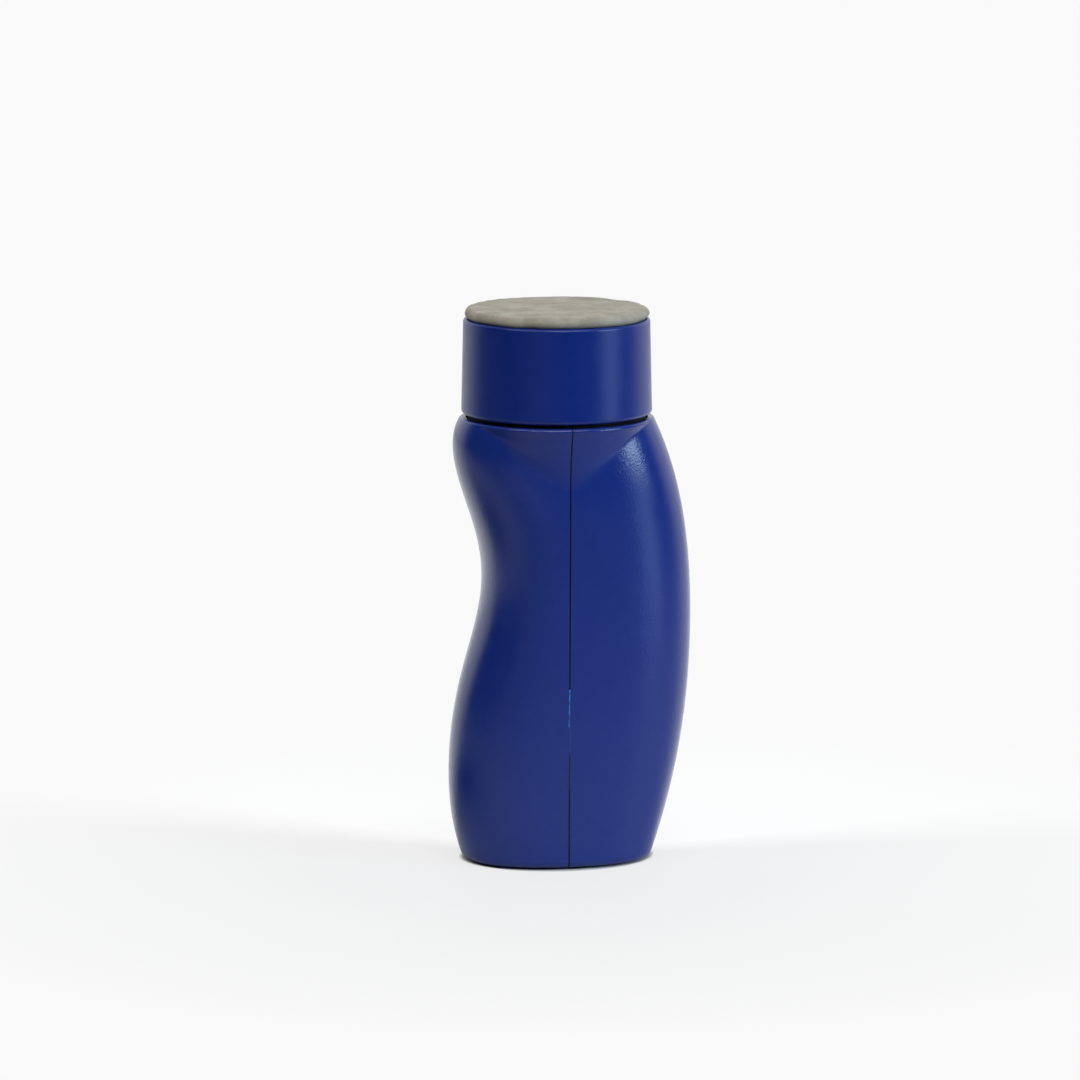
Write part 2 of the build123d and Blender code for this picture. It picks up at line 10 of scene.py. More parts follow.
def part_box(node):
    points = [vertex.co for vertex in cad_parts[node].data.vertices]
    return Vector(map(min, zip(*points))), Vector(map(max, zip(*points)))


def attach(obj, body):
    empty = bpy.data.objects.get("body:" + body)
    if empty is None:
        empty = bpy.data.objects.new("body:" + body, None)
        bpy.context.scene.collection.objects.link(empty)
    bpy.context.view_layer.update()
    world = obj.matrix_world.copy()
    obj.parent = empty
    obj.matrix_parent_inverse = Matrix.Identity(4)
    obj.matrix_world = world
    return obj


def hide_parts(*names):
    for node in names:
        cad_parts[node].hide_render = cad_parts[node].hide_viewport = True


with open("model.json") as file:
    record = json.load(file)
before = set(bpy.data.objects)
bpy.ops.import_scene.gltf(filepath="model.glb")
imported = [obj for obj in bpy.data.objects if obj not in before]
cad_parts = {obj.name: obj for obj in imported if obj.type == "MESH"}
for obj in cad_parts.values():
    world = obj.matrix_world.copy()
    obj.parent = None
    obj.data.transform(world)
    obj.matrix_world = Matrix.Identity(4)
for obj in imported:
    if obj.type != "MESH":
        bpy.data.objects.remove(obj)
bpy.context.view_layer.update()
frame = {"nodes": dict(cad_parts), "record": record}
nodes = frame["nodes"]
scene = bpy.context.scene
scene.view_settings.view_transform = "Standard"

MM = 0.001

# Colours, linear
WHITE = (1, 1, 1, 1)
GRIP_BLUE = (0.0060, 0.0215, 0.176, 1)
GRIP_BLUE_WORN = (0.0085, 0.0275, 0.196, 1)
CAP_BLUE = (0.0012, 0.0150, 0.162, 1)
CAP_BLUE_WORN = (0.0020, 0.0195, 0.184, 1)
FLASH_BLUE = (0.030, 0.190, 0.620, 1)
DUST = (0.30, 0.34, 0.42, 1)
# Painted shade of the gap along the grip's seam
SEAM_PAINTED_SHADE = (0.0015, 0.003, 0.014, 1)
HUB_BLACK = (0.003, 0.003, 0.004, 1)
BLACK_PLASTIC = (0.008, 0.008, 0.009, 1)
BLACK_PLASTIC_WORN = (0.020, 0.020, 0.022, 1)
NYLON = (0.60, 0.51, 0.33, 1)
NYLON_WORN = (0.68, 0.60, 0.42, 1)
GROUND_STEEL = (0.55, 0.55, 0.57, 1)
POLISHED_STEEL = (0.66, 0.66, 0.68, 1)
PHOSPHATED_STEEL = (0.05, 0.05, 0.055, 1)
ZINC = (0.48, 0.49, 0.50, 1)
ROLLED_STEEL = (0.42, 0.42, 0.43, 1)
NICKEL = (0.60, 0.58, 0.53, 1)
FELT_DARK = (0.09, 0.085, 0.08, 1)
FELT_PALE = (0.24, 0.23, 0.21, 1)
RUBBER_BLACK = (0.011, 0.011, 0.012, 1)
RUBBER_SCUFFED = (0.04, 0.04, 0.04, 1)
PUTTY_PALE = (0.36, 0.33, 0.27, 1)
PUTTY_DARK = (0.24, 0.215, 0.17, 1)
WHITE_PAPER = (0.62, 0.62, 0.62, 1)
GREY_TABLE = (0.22, 0.22, 0.22, 1)
DARK_TABLE = (0.05, 0.05, 0.05, 1)
BLACK_FLAG = (0.01, 0.01, 0.01, 1)


# Node helpers

# Most of a noise lies between these values
NOISE_LOW = 0.3
NOISE_HIGH = 0.7


def add_node(tree, kind, inputs=None, **settings):
    """New node with its settings, and with each input set to a value or joined to a socket."""
    node = tree.nodes.new(kind)
    for name, value in settings.items():
        setattr(node, name, value)
    for key, value in (inputs or {}).items():
        if isinstance(value, bpy.types.NodeSocket):
            tree.links.new(value, node.inputs[key])
        else:
            node.inputs[key].default_value = value
    return node


def new_material(name):
    """Material with a Principled shader. Returns the material, its node tree and the shader."""
    material = bpy.data.materials.new(name)
    material.use_nodes = True
    return material, material.node_tree, material.node_tree.nodes["Principled BSDF"]


def join(tree, shader, sockets):
    """Joins each socket to the shader's input of that name."""
    for name, socket in sockets.items():
        tree.links.new(socket, shader.inputs[name])


def place(tree):
    """Position on the object, in metres."""
    return add_node(tree, "ShaderNodeTexCoord").outputs["Object"]


def split(tree, position):
    """Sockets X, Y and Z of a position."""
    return add_node(tree, "ShaderNodeSeparateXYZ", {0: position}).outputs


def noise_of(tree, position, size, detail=3.0, roughness=0.55):
    """Noise from 0 to 1 whose lumps are about size across."""
    texture = add_node(
        tree,
        "ShaderNodeTexNoise",
        {"Vector": position, "Scale": 1 / size, "Detail": detail, "Roughness": roughness},
    )
    return texture.outputs["Fac"]


def spread(tree, value, low, high, to_low, to_high):
    """Value from low to high, carried over to the range from to_low to to_high and held within it."""
    mapped = add_node(
        tree,
        "ShaderNodeMapRange",
        {"Value": value, "From Min": low, "From Max": high, "To Min": to_low, "To Max": to_high},
    )
    return mapped.outputs["Result"]


def vary(tree, texture, low, high):
    """Noise carried over to the range from low to high."""
    return spread(tree, texture, NOISE_LOW, NOISE_HIGH, low, high)


def calculate(tree, operation, first, second):
    """Result of a sum, product or other operation on two numbers."""
    return add_node(tree, "ShaderNodeMath", {0: first, 1: second}, operation=operation).outputs[0]


def absolute(tree, value):
    """Number without its sign."""
    return calculate(tree, "ABSOLUTE", value, 0)


def measure(tree, operation, first, second=(0, 0, 0)):
    """Number that an operation on vectors gives, such as a length or a distance."""
    return add_node(tree, "ShaderNodeVectorMath", {0: first, 1: second}, operation=operation).outputs["Value"]


def mix_colours(tree, factor, first, second):
    """First colour where the factor is 0, and second colour where it is 1."""
    mixed = add_node(tree, "ShaderNodeMix", {0: factor, 6: first, 7: second}, data_type="RGBA")
    return mixed.outputs[2]


def bump(tree, height, depth, normal=None):
    """Normal that follows a height from 0 to 1, depth metres deep."""
    inputs = {"Height": height, "Distance": depth}
    if normal is not None:
        inputs["Normal"] = normal
    return add_node(tree, "ShaderNodeBump", inputs).outputs["Normal"]


# Moulded plastics

MOTTLE_SIZE = 14 * MM
MOTTLE_DEPTH = 0.02 * MM
MARK_SIZE = 3 * MM
ROUGHNESS_CHANGE = 0.02
DUST_SPACING = 5 * MM
DUST_SIZE = 0.11 * MM
DUST_SHARE = 0.03
SATIN_SHINE = 0.38

# Rounding of the flare's creases, from the finger side to the palm side and down from the rim
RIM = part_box("finger_shell")[1].z
FINGER_SIDE = -2 * MM
FINGER_ROUNDING = 5.0 * MM
PALM_SIDE = 10 * MM
PALM_ROUNDING = 1.2 * MM
ROUNDING_PER_SEAM_DISTANCE = 0.8
LIP_DROP = 0.9 * MM
FLARE_DROP = 5.5 * MM
FLARE_ROUNDING = 3.6 * MM
SWELL_DROP = 20.5 * MM
SWELL_ROUNDING = 5.0 * MM
WAIST_DROP = 26.5 * MM

# Half widths between which the painted shade along the seam's edges fades into the grip
SEAM_EDGE = 0.10 * MM
SEAM_EDGE_END = 0.18 * MM


def dust_specks(tree, position):
    """1 on tiny specks in a share of the cells of a pattern, and 0 elsewhere."""
    cells = add_node(tree, "ShaderNodeTexVoronoi", {"Vector": position, "Scale": 1 / DUST_SPACING})
    near = calculate(tree, "LESS_THAN", cells.outputs["Distance"], DUST_SIZE / DUST_SPACING)
    tone = add_node(tree, "ShaderNodeSeparateColor", {"Color": cells.outputs["Color"]}).outputs[0]
    chosen = calculate(tree, "LESS_THAN", tone, DUST_SHARE)
    return calculate(tree, "MULTIPLY", near, chosen)


def soft_crease(tree, position):
    """Normal of the grip with the creases of its flare rounded, more so on the finger side."""
    parts = split(tree, position)
    across = spread(tree, parts["X"], FINGER_SIDE, PALM_SIDE, FINGER_ROUNDING, PALM_ROUNDING)
    off_seam = calculate(tree, "MULTIPLY", absolute(tree, parts["X"]), ROUNDING_PER_SEAM_DISTANCE)
    off_rim = spread(tree, parts["Z"], RIM - FLARE_DROP, RIM - LIP_DROP, FLARE_ROUNDING, 0)
    off_waist = spread(tree, parts["Z"], RIM - WAIST_DROP, RIM - SWELL_DROP, 0, SWELL_ROUNDING)
    near = calculate(tree, "MINIMUM", across, off_seam)
    reach = calculate(tree, "MINIMUM", near, calculate(tree, "MINIMUM", off_rim, off_waist))
    return add_node(tree, "ShaderNodeBevel", {"Radius": reach}, samples=8).outputs["Normal"]


def seam_painted_shade(tree, position):
    """1 along the seam of the grip, where the shade of the gap between the halves is painted on its edges,
    and 0 elsewhere.
    """
    off_seam = absolute(tree, split(tree, position)["X"])
    return spread(tree, off_seam, SEAM_EDGE, SEAM_EDGE_END, 1, 0)


def satin_plastic(name, colour, worn, grain, grain_depth, roughness, shine=SATIN_SHINE, halves=False):
    """Moulded plastic with a grain, faint mottling, handling marks and dust. The grip's halves also get
    painted shade along their seam's edges, and softened creases."""
    material, tree, shader = new_material(name)
    position = place(tree)
    mottle = noise_of(tree, position, MOTTLE_SIZE)
    marks = noise_of(tree, position, MARK_SIZE, detail=3, roughness=0.5)
    worn_share = calculate(tree, "MULTIPLY", mottle, spread(tree, marks, 0.35, 0.75, 0.2, 0.8))
    tint = mix_colours(tree, worn_share, colour, worn)
    tint = mix_colours(tree, dust_specks(tree, position), tint, DUST)
    normal = None
    if halves:
        # Painted shade: the seam's edges darkened where shade falls in the gap between the halves
        tint = mix_colours(tree, seam_painted_shade(tree, position), tint, SEAM_PAINTED_SHADE)
        normal = soft_crease(tree, position)
    wavy = bump(tree, mottle, MOTTLE_DEPTH, normal)
    grains = noise_of(tree, position, grain, detail=2)
    join(tree, shader, {
        "Base Color": tint,
        "Roughness": vary(tree, marks, roughness - ROUGHNESS_CHANGE, roughness + ROUGHNESS_CHANGE),
        "Normal": bump(tree, grains, grain_depth, wavy),
    })
    shader.inputs["Specular IOR Level"].default_value = shine
    return material


# Other materials

PUTTY_FOLDS = 5 * MM
PUTTY_GRAIN = 0.5 * MM
PUTTY_GRAIN_DEPTH = 0.04 * MM
TURNING_STRETCH = (1, 1, 14)
TURNING_DEPTH = 0.004 * MM
METAL_CLOUDS = 4 * MM
METAL_DARKER = 0.72
FELT_FIBRES = 0.25 * MM
FELT_DEPTH = 0.12 * MM
RUBBER_PORES = 0.4 * MM
RUBBER_PORE_DEPTH = 0.05 * MM
RUBBER_SCUFFS = 6 * MM


def putty_material():
    """Dull kneaded putty: two tones folded into each other, with a fine lumpy surface."""
    material, tree, shader = new_material("sticky_putty")
    position = place(tree)
    folds = noise_of(tree, position, PUTTY_FOLDS, detail=5, roughness=0.6)
    fine = noise_of(tree, position, PUTTY_GRAIN, detail=4)
    join(tree, shader, {
        "Base Color": mix_colours(tree, spread(tree, folds, 0.35, 0.65, 0, 1), PUTTY_DARK, PUTTY_PALE),
        "Roughness": vary(tree, fine, 0.55, 0.8),
        "Normal": bump(tree, fine, PUTTY_GRAIN_DEPTH),
    })
    shader.inputs["Subsurface Weight"].default_value = 0.1
    shader.inputs["Subsurface Radius"].default_value = (1.2 * MM, 0.9 * MM, 0.6 * MM)
    return material


def metal(name, colour, roughness, scratch):
    """Bare or plated metal with fine turning marks and slightly uneven gloss."""
    material, tree, shader = new_material(name)
    position = place(tree)
    stretched = add_node(tree, "ShaderNodeMapping", {"Vector": position, "Scale": TURNING_STRETCH})
    lines = noise_of(tree, stretched.outputs["Vector"], scratch, detail=4)
    clouds = noise_of(tree, position, METAL_CLOUDS)
    darker = tuple(METAL_DARKER * channel for channel in colour[:3]) + (1,)
    join(tree, shader, {
        "Base Color": mix_colours(tree, clouds, darker, colour),
        "Roughness": vary(tree, lines, roughness - 0.06, roughness + 0.08),
        "Normal": bump(tree, lines, TURNING_DEPTH),
    })
    shader.inputs["Metallic"].default_value = 1
    return material


def felt_material():
    """Pressed wool felt with short tangled fibres."""
    material, tree, shader = new_material("wool_felt")
    fibres = noise_of(tree, place(tree), FELT_FIBRES, detail=6, roughness=0.75)
    join(tree, shader, {
        "Base Color": mix_colours(tree, fibres, FELT_DARK, FELT_PALE),
        "Roughness": spread(tree, fibres, 0, 1, 0.85, 1),
        "Normal": bump(tree, fibres, FELT_DEPTH),
    })
    shader.inputs["Sheen Weight"].default_value = 0.4
    return material


def rubber_material():
    """Matt rubber with a fine cast texture and grey scuffs."""
    material, tree, shader = new_material("foot_rubber")
    position = place(tree)
    pores = noise_of(tree, position, RUBBER_PORES, detail=4)
    scuffs = noise_of(tree, position, RUBBER_SCUFFS, detail=6, roughness=0.7)
    scuffed = spread(tree, scuffs, 0.45, 0.75, 0, 1)
    join(tree, shader, {
        "Base Color": mix_colours(tree, scuffed, RUBBER_BLACK, RUBBER_SCUFFED),
        "Roughness": vary(tree, scuffs, 0.7, 0.9),
        "Normal": bump(tree, pores, RUBBER_PORE_DEPTH),
    })
    return material


# Finish of each material slot

finishes = {
    "grip_plastic": satin_plastic(
        "grip_blue", GRIP_BLUE, GRIP_BLUE_WORN,
        grain=0.42 * MM, grain_depth=0.036 * MM, roughness=0.20, halves=True,
    ),
    "cap_plastic": satin_plastic(
        "cap_blue", CAP_BLUE, CAP_BLUE_WORN,
        grain=0.6 * MM, grain_depth=0.004 * MM, roughness=0.30,
    ),
    "hub_plastic": satin_plastic(
        "hub_black", HUB_BLACK, BLACK_PLASTIC,
        grain=0.2 * MM, grain_depth=0.008 * MM, roughness=0.55, shine=0.05,
    ),
    "inner_plastic": satin_plastic(
        "nylon_black", BLACK_PLASTIC, BLACK_PLASTIC_WORN,
        grain=0.3 * MM, grain_depth=0.015 * MM, roughness=0.6,
    ),
    "cage_nylon": satin_plastic(
        "nylon_natural", NYLON, NYLON_WORN,
        grain=0.3 * MM, grain_depth=0.01 * MM, roughness=0.45,
    ),
    "bearing_steel": metal("ground_steel", GROUND_STEEL, roughness=0.22, scratch=0.8 * MM),
    "ball_steel": metal("polished_steel", POLISHED_STEEL, roughness=0.10, scratch=2.0 * MM),
    "spring_steel": metal("phosphated_steel", PHOSPHATED_STEEL, roughness=0.5, scratch=0.6 * MM),
    "screw_steel": metal("zinc_plate", ZINC, roughness=0.32, scratch=0.7 * MM),
    "plate_steel": metal("rolled_steel", ROLLED_STEEL, roughness=0.36, scratch=1.2 * MM),
    "magnet_nickel": metal("nickel_plate", NICKEL, roughness=0.16, scratch=1.5 * MM),
    "felt": felt_material(),
    "foot_rubber": rubber_material(),
    "putty": putty_material(),
}

for subpart in frame["record"]["subparts"]:
    mesh = nodes[subpart["node"]].data
    mesh.materials.clear()
    mesh.materials.append(finishes[subpart["material_slot"]])


# Shape helpers


def new_piece(name, shape, material):
    """Smooth object made from a bmesh, which is freed."""
    mesh = bpy.data.meshes.new(name)
    shape.to_mesh(mesh)
    shape.free()
    mesh.materials.append(material)
    piece = bpy.data.objects.new(name, mesh)
    scene.collection.objects.link(piece)
    for polygon in mesh.polygons:
        polygon.use_smooth = True
    return piece


def bridge(shape, loops):
    """Faces between each closed loop of points and the next."""
    for lower, upper in zip(loops, loops[1:]):
        for side in range(len(lower)):
            after = (side + 1) % len(lower)
            shape.faces.new((lower[side], lower[after], upper[after], upper[side]))


# Putty pressed on the cap: a squeezed disc with an uneven bulging edge and a dented top

putty_low, putty_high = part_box("putty_pad")
PUTTY_RADIUS = (putty_high.x - putty_low.x) / 2
PUTTY_THICKNESS = putty_high.z - putty_low.z
PUTTY_BULGE = 0.035
PUTTY_PRESSED = 0.15 * MM
PUTTY_SIDES = 160
PUTTY_RINGS = 40
PUTTY_BULGE_STEPS = 10

# Waves of the edge: how far they reach out, and how fast they follow each other round it
EDGE_WAVES = [(0.35 * MM, 3.1), (0.12 * MM, 11)]

# Dents of the top: depth and size
TOP_DENTS = [(0.22 * MM, 7 * MM), (0.08 * MM, 1.8 * MM)]


def putty_edge(angle):
    """Outer radius of the putty at one angle."""
    around = Vector((math.cos(angle), math.sin(angle), 0))
    return PUTTY_RADIUS + sum(reach * noise.noise(pace * around) for reach, pace in EDGE_WAVES)


def putty_top(spot):
    """Height of the pressed top above the cap at one spot."""
    dents = sum(depth * noise.noise(spot / size) for depth, size in TOP_DENTS)
    return PUTTY_THICKNESS - PUTTY_PRESSED + dents


def putty_rings():
    """Share of the radius and share of the height of each ring, up the edge and then in over the top."""
    rings = []
    for step in range(PUTTY_BULGE_STEPS):
        lift = step / (PUTTY_BULGE_STEPS - 1)
        rings.append((1 - PUTTY_BULGE * (2 * lift - 1) ** 2, lift))
    for step in range(1, PUTTY_RINGS):
        rings.append(((1 - step / PUTTY_RINGS) * (1 - PUTTY_BULGE), 1))
    return rings


def putty_shape():
    """Closed disc of putty on the cap."""
    shape = bmesh.new()
    loops = []
    for share, lift in putty_rings():
        loop = []
        for side in range(PUTTY_SIDES):
            angle = math.tau * side / PUTTY_SIDES
            radius = putty_edge(angle) * share
            spot = Vector((radius * math.cos(angle), radius * math.sin(angle), 0))
            loop.append(shape.verts.new(spot + Vector((0, 0, putty_low.z + putty_top(spot) * lift))))
        loops.append(loop)
    bridge(shape, loops)
    centre = shape.verts.new((0, 0, putty_low.z + putty_top(Vector((0, 0, 0)))))
    for side in range(PUTTY_SIDES):
        shape.faces.new((loops[-1][side], loops[-1][(side + 1) % PUTTY_SIDES], centre))
    shape.faces.new(list(reversed(loops[0])))
    return shape


putty = new_piece("putty_layer", putty_shape(), finishes["putty"])
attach(putty, "cap_set")
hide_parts("putty_pad")


# Flash on the front of the seam: a thin ragged bead that stands proud, fills the seam below and then sinks

# Heights of its upper end, of the foot of the proud part, of the filled part's end, and of its lower end
FLASH_TOP = 36.4 * MM
FLASH_FOOT = 28.4 * MM
FLASH_FILL_END = 22.5 * MM
FLASH_LOW_END = 16.5 * MM

# Lengths over which the proud part starts and stops
FLASH_START = 1.5 * MM
FLASH_STOP = 1.2 * MM

# Half widths, and rises over the grip's wall
SUNK_REACH = 0.12 * MM
FILLED_REACH = 0.24 * MM
RAGGED_REACH = 0.06 * MM
SUNK_RISE = -0.05 * MM
FILLED_RISE = 0.05 * MM
PROUD_RISE = 0.03 * MM
RAGGED_RISE = 0.05 * MM
RAGGED_SIZE = 1.1 * MM
FLASH_SHIFT = 0.06 * MM
FLASH_ROOT = 0.08 * MM

# Pale streak of the proud part: lean to the finger side at its foot, sway, and half width
STREAK_LEAN = 0.18 * MM
STREAK_SWAY = 0.09 * MM
STREAK_SWAY_SIZE = 1.6 * MM
STREAK_EDGE = 0.07 * MM
STREAK_EDGE_END = 0.13 * MM
FLASH_LUMPS = 0.9 * MM
FLASH_LUMP_DEPTH = 0.03 * MM

FLASH_STEPS = 90
FLASH_SIDES = 9
BESIDE_SEAM = 0.3 * MM
BEFORE_GRIP = -100 * MM


def flash_material():
    """Thin plastic on the seam: a pale streak where it stands proud, the grip's blue where it fills the seam,
    and the seam's painted shade where it sinks below.
    """
    material, tree, shader = new_material("seam_flash")
    position = place(tree)
    parts = split(tree, position)
    height = parts["Z"]
    lumps = noise_of(tree, position, FLASH_LUMPS, detail=4, roughness=0.6)
    upright = add_node(tree, "ShaderNodeCombineXYZ", {"Z": height}).outputs[0]
    lean = spread(tree, height, FLASH_FOOT, FLASH_TOP, -STREAK_LEAN, 0)
    sway = vary(tree, noise_of(tree, upright, STREAK_SWAY_SIZE), -STREAK_SWAY, STREAK_SWAY)
    off_line = calculate(tree, "SUBTRACT", parts["X"], calculate(tree, "ADD", lean, sway))
    streak = spread(tree, absolute(tree, off_line), STREAK_EDGE, STREAK_EDGE_END, 1, 0)
    bright = calculate(tree, "MULTIPLY", streak, spread(tree, lumps, 0.40, 0.56, 0.15, 1))
    proud = spread(tree, height, FLASH_FOOT - 0.6 * MM, FLASH_FOOT + 0.8 * MM, 0, 1)
    filled = spread(tree, height, FLASH_FILL_END - 0.5 * MM, FLASH_FILL_END + FLASH_START, 0, 1)
    # Painted seam shade where the bead sinks, and the grip's blue where it fills the seam
    lower = mix_colours(tree, filled, SEAM_PAINTED_SHADE, GRIP_BLUE)
    join(tree, shader, {
        "Base Color": mix_colours(tree, calculate(tree, "MULTIPLY", proud, bright), lower, FLASH_BLUE),
        "Roughness": vary(tree, lumps, 0.22, 0.26),
        "Normal": bump(tree, lumps, FLASH_LUMP_DEPTH),
    })
    return material


def ramp(value, start, length):
    """0 up to start, rising to 1 at length beyond it."""
    return min(1, max(0, (value - start) / length))


def flash_section(height):
    """Half width, rise over the wall and shift to the finger side of the bead at one height."""
    ragged = noise.noise(Vector((0, 0, height / RAGGED_SIZE)))
    proud = min(ramp(height, FLASH_FOOT, FLASH_START), ramp(-height, -FLASH_TOP, FLASH_STOP))
    filled = ramp(height, FLASH_FILL_END, FLASH_START)
    reach = SUNK_REACH + (FILLED_REACH - SUNK_REACH) * filled + RAGGED_REACH * ragged * proud
    rise = SUNK_RISE + (FILLED_RISE - SUNK_RISE) * filled + (PROUD_RISE + RAGGED_RISE * ragged) * proud
    return reach, rise, FLASH_SHIFT * proud


def flash_shape():
    """Closed bead that follows the front of the grip along the seam."""
    walls = bmesh.new()
    walls.from_mesh(nodes["finger_shell"].data)
    walls.from_mesh(nodes["palm_shell"].data)
    surface = BVHTree.FromBMesh(walls)
    walls.free()

    def front(x, height):
        """Depth of the grip's front at one place."""
        return surface.ray_cast(Vector((x, BEFORE_GRIP, height)), Vector((0, 1, 0)))[0].y

    shape = bmesh.new()
    loops = []
    for step in range(FLASH_STEPS + 1):
        height = FLASH_LOW_END + (FLASH_TOP - FLASH_LOW_END) * step / FLASH_STEPS
        reach, rise, shift = flash_section(height)
        near_left = front(-BESIDE_SEAM, height)
        near_right = front(BESIDE_SEAM, height)
        loop = []
        for side in range(FLASH_SIDES):
            turn = math.pi * side / (FLASH_SIDES - 1)
            x = -reach * math.cos(turn) - shift
            share = (x + BESIDE_SEAM) / (2 * BESIDE_SEAM)
            depth = near_left + share * (near_right - near_left)
            bulge = (rise + FLASH_ROOT) * math.sin(turn) - FLASH_ROOT
            loop.append(shape.verts.new((x, depth - bulge, height)))
        loops.append(loop)
    bridge(shape, loops)
    shape.faces.new(list(reversed(loops[0])))
    shape.faces.new(loops[-1])
    bmesh.ops.recalc_face_normals(shape, faces=shape.faces)
    return shape


flash = new_piece("seam_flash", flash_shape(), flash_material())
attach(flash, "handle")


# Floor

# Round patches of the floor: middle, radius and half width of the soft edge
PAPER = ((0, 0.42, 0), 0.57, 0.10)
NEAR_TABLE = ((0, 0.42, 0), 0.845, 0.125)
FRONT_PAPER = ((-0.27, -0.50, 0), 0.20, 0.09)
LEFT_FLAG = ((-0.113, 0.019, 0), 0.058, 0.035)
FRONT_FLAG = ((-0.12, -0.22, 0), 0.06, 0.05)

# Half width and half depth of the grip's foot, and the share of them at which its dark line ends
FOOT_REACH = (18.9 * MM, 15.1 * MM)
CONTACT_END = 1.04

# The camera sees a share of the floor's own shade up to NEAR, and only the backdrop's white from FAR on
BACKDROP_LEVEL = 0.95
NEAR = 0.05
FAR = 0.15
NEAR_BACKDROP_SHARE = 0.75

# Direction of the bright back of the room, cosines between which it fades, and the floor's light there
BEHIND = (0.233, 0.972, 0)
BEHIND_START = 0.22
BEHIND_FULL = 0.52
FLOOR_GLOW = 0.48

FLOOR_FRONT = 0.90
FLOOR_SIDE = 0.90
FLOOR_BACK = 3.0


def behind(tree, direction):
    """1 towards the bright back of the room, and 0 at the sides and in front."""
    unit = add_node(tree, "ShaderNodeVectorMath", {0: direction}, operation="NORMALIZE").outputs["Vector"]
    along = measure(tree, "DOT_PRODUCT", unit, BEHIND)
    return spread(tree, along, BEHIND_START, BEHIND_FULL, 0, 1)


def round_patch(tree, position, middle, radius, edge):
    """1 in a round patch of the floor and 0 outside it."""
    away = measure(tree, "DISTANCE", position, middle)
    return spread(tree, away, radius - edge, radius + edge, 1, 0)


def floor_tint(tree, position, seen):
    """White paper on a grey table, with black flags that only the object reflects."""
    table = mix_colours(tree, round_patch(tree, position, *NEAR_TABLE), DARK_TABLE, GREY_TABLE)
    sheet = mix_colours(tree, round_patch(tree, position, *PAPER), table, WHITE_PAPER)
    sheet = mix_colours(tree, round_patch(tree, position, *FRONT_PAPER), sheet, WHITE_PAPER)
    left_flag = round_patch(tree, position, *LEFT_FLAG)
    flag = calculate(tree, "MAXIMUM", left_flag, round_patch(tree, position, *FRONT_FLAG))
    flagged = calculate(tree, "MULTIPLY", flag, calculate(tree, "SUBTRACT", 1, seen))
    return mix_colours(tree, flagged, sheet, BLACK_FLAG)


def floor_material():
    """Floor that lights the object from below, and that the camera sees as white but for soft shadows."""
    material, tree, shader = new_material("white_sweep")
    position = place(tree)
    rays = add_node(tree, "ShaderNodeLightPath").outputs
    seen = calculate(tree, "MAXIMUM", rays["Is Camera Ray"], rays["Is Transmission Ray"])
    fibres = noise_of(tree, position, 2 * MM, detail=4)
    join(tree, shader, {
        "Base Color": floor_tint(tree, position, seen),
        "Roughness": vary(tree, fibres, 0.55, 0.65),
        "Emission Strength": calculate(tree, "MULTIPLY", behind(tree, position), FLOOR_GLOW),
    })
    shader.inputs["Specular IOR Level"].default_value = 0.2
    shader.inputs["Emission Color"].default_value = WHITE
    far = spread(tree, measure(tree, "LENGTH", position), NEAR, FAR, NEAR_BACKDROP_SHARE, 1)
    from_foot = add_node(tree, "ShaderNodeVectorMath", {0: position, 1: (*FOOT_REACH, 1)}, operation="DIVIDE")
    clear = spread(tree, measure(tree, "LENGTH", from_foot.outputs["Vector"]), 1, CONTACT_END, 0, 1)
    share = calculate(tree, "MULTIPLY", calculate(tree, "MULTIPLY", far, clear), seen)
    glow = add_node(tree, "ShaderNodeEmission", {"Strength": BACKDROP_LEVEL})
    mixed = add_node(tree, "ShaderNodeMixShader", {0: share, 1: shader.outputs[0], 2: glow.outputs[0]})
    tree.links.new(mixed.outputs[0], tree.nodes["Material Output"].inputs["Surface"])
    return material


floor_shape = bmesh.new()
floor_corners = [
    (-FLOOR_SIDE, -FLOOR_FRONT, 0),
    (FLOOR_SIDE, -FLOOR_FRONT, 0),
    (FLOOR_SIDE, FLOOR_BACK, 0),
    (-FLOOR_SIDE, FLOOR_BACK, 0),
]
floor_shape.faces.new([floor_shape.verts.new(corner) for corner in floor_corners])
floor = new_piece("floor", floor_shape, floor_material())


# Room: levels of its dark sides, its top and its back, and how steeply upward its top starts

SIDE_LEVEL = 0.024
TOP_LEVEL = 0.64
BACK_LEVEL = 0.96
TOP_START = 0.55
TOP_FULL = 0.85


def set_world():
    """White all round to the camera. The object is lit by a bright back and top and a dark front."""
    world = bpy.data.worlds.new("studio")
    scene.world = world
    world.use_nodes = True
    tree = world.node_tree
    tree.nodes.clear()
    direction = add_node(tree, "ShaderNodeTexCoord").outputs["Generated"]
    above = spread(tree, split(tree, direction)["Z"], TOP_START, TOP_FULL, SIDE_LEVEL, TOP_LEVEL)
    back = calculate(tree, "MULTIPLY", behind(tree, direction), BACK_LEVEL)
    level = calculate(tree, "MAXIMUM", back, above)
    seen = add_node(tree, "ShaderNodeLightPath").outputs["Is Camera Ray"]
    strength = add_node(tree, "ShaderNodeMix", {0: seen, 2: level, 3: BACKDROP_LEVEL}).outputs[0]
    background = add_node(tree, "ShaderNodeBackground", {"Color": WHITE, "Strength": strength})
    output = add_node(tree, "ShaderNodeOutputWorld")
    tree.links.new(background.outputs[0], output.inputs["Surface"])


set_world()


# Camera at the place it had in the photograph

CAMERA_AZIMUTH = math.radians(-9.5)
CAMERA_SIDE = Vector((math.sin(CAMERA_AZIMUTH), -math.cos(CAMERA_AZIMUTH), 0))
CAMERA_RIGHT = Vector((math.cos(CAMERA_AZIMUTH), math.sin(CAMERA_AZIMUTH), 0))
CAMERA_DISTANCE = 1.187
CAMERA_HEIGHT = 0.259
CAMERA_PITCH = math.radians(9.344)
CAMERA_OFFSET = 3.28 * MM
CAMERA_LENS = 202.5
SENSOR_WIDTH = 36


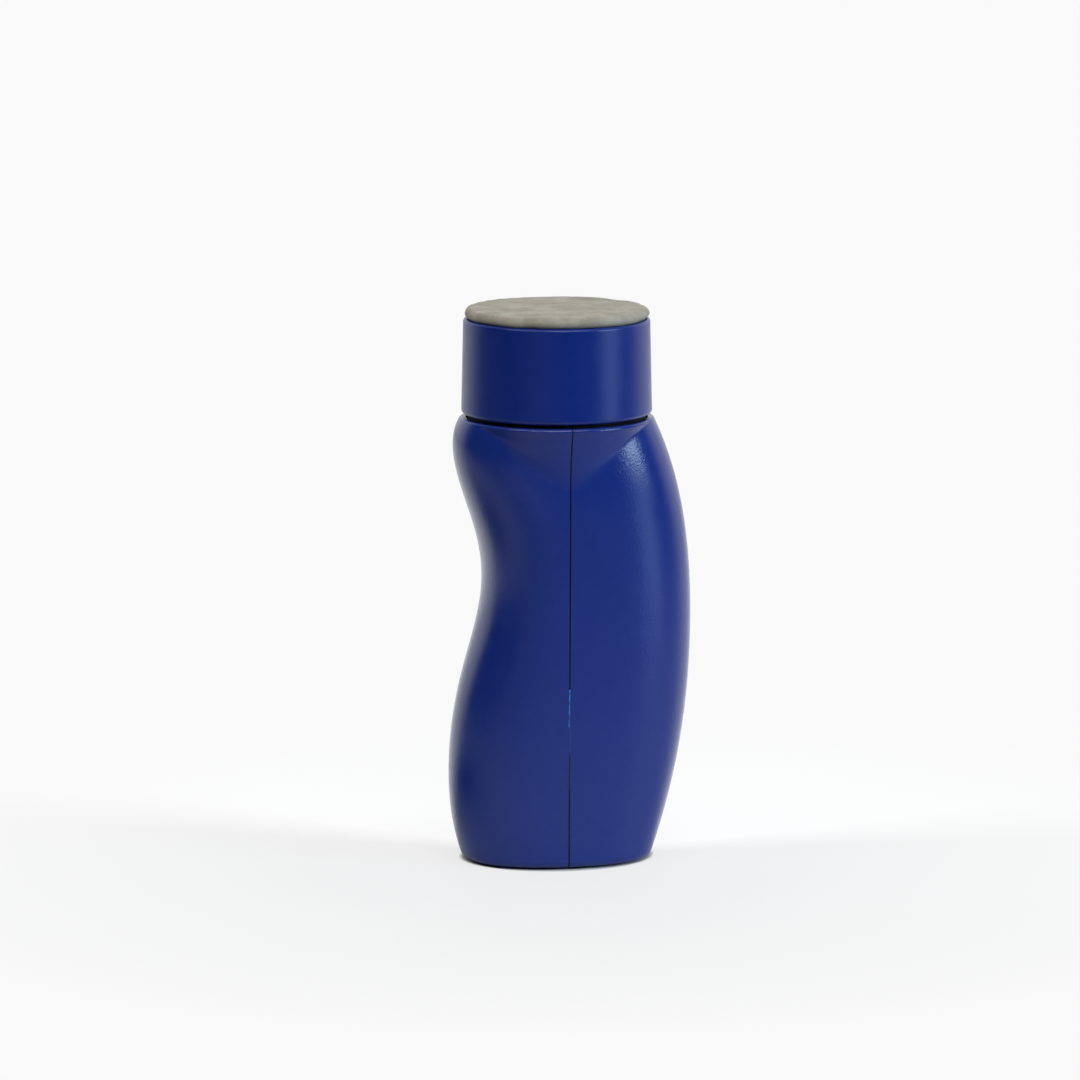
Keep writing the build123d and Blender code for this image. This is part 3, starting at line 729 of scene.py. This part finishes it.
def set_camera():
    """Camera in front of the object, a little to its left and looking slightly down."""
    data = bpy.data.cameras.new("photo_camera")
    data.lens = CAMERA_LENS
    data.sensor_width = SENSOR_WIDTH
    camera = bpy.data.objects.new("photo_camera", data)
    height = Vector((0, 0, CAMERA_HEIGHT))
    camera.location = CAMERA_DISTANCE * CAMERA_SIDE - CAMERA_OFFSET * CAMERA_RIGHT + height
    look = -math.cos(CAMERA_PITCH) * CAMERA_SIDE - Vector((0, 0, math.sin(CAMERA_PITCH)))
    camera.rotation_euler = look.to_track_quat("-Z", "Y").to_euler()
    scene.collection.objects.link(camera)
    scene.camera = camera


set_camera()


# Lamps, placed round the middle of the object as the camera sees it

MIDDLE = Vector((0, 0, 60 * MM))
NEUTRAL = (1, 1, 1)
COOL = (0.62, 0.84, 1.0)
COLD = (0.38, 0.62, 1.0)

# Name, degrees to the right of the camera, degrees up, distance, width, height, level and colour
LAMPS = [
    ("right_card_low", 66, -8.0, 0.30, 0.092, 0.036, 2.4, COLD),
    ("right_card_middle", 66, -0.7, 0.30, 0.092, 0.038, 1.6, COLD),
    ("right_card_high", 68, 5.3, 0.30, 0.128, 0.027, 2.5, COOL),
    ("right_softbox", 68, 19, 0.9, 0.32, 0.34, 12, COOL),
    ("left_softbox", -52, 45, 1.0, 0.50, 0.50, 2.6, NEUTRAL),
    ("front_softbox", 12, 46, 1.0, 0.70, 0.50, 4.6, NEUTRAL),
]


def towards(azimuth, elevation):
    """Direction at an angle to the right of the camera's side and an angle above the floor."""
    side = math.radians(azimuth)
    rise = math.radians(elevation)
    flat = math.cos(side) * CAMERA_SIDE + math.sin(side) * CAMERA_RIGHT
    return math.cos(rise) * flat + Vector((0, 0, math.sin(rise)))


def softbox(name, azimuth, elevation, distance, width, height, level, colour):
    """Rectangular lamp that faces the object. Its power grows with its area, so level is its brightness."""
    light = bpy.data.lights.new(name, "AREA")
    light.shape = "RECTANGLE"
    light.size = width
    light.size_y = height
    light.color = colour
    light.energy = level * math.pi * width * height
    lamp = bpy.data.objects.new(name, light)
    lamp.location = MIDDLE + distance * towards(azimuth, elevation)
    lamp.rotation_euler = towards(azimuth, elevation).to_track_quat("Z", "Y").to_euler()
    scene.collection.objects.link(lamp)


for lamp in LAMPS:
    softbox(*lamp)
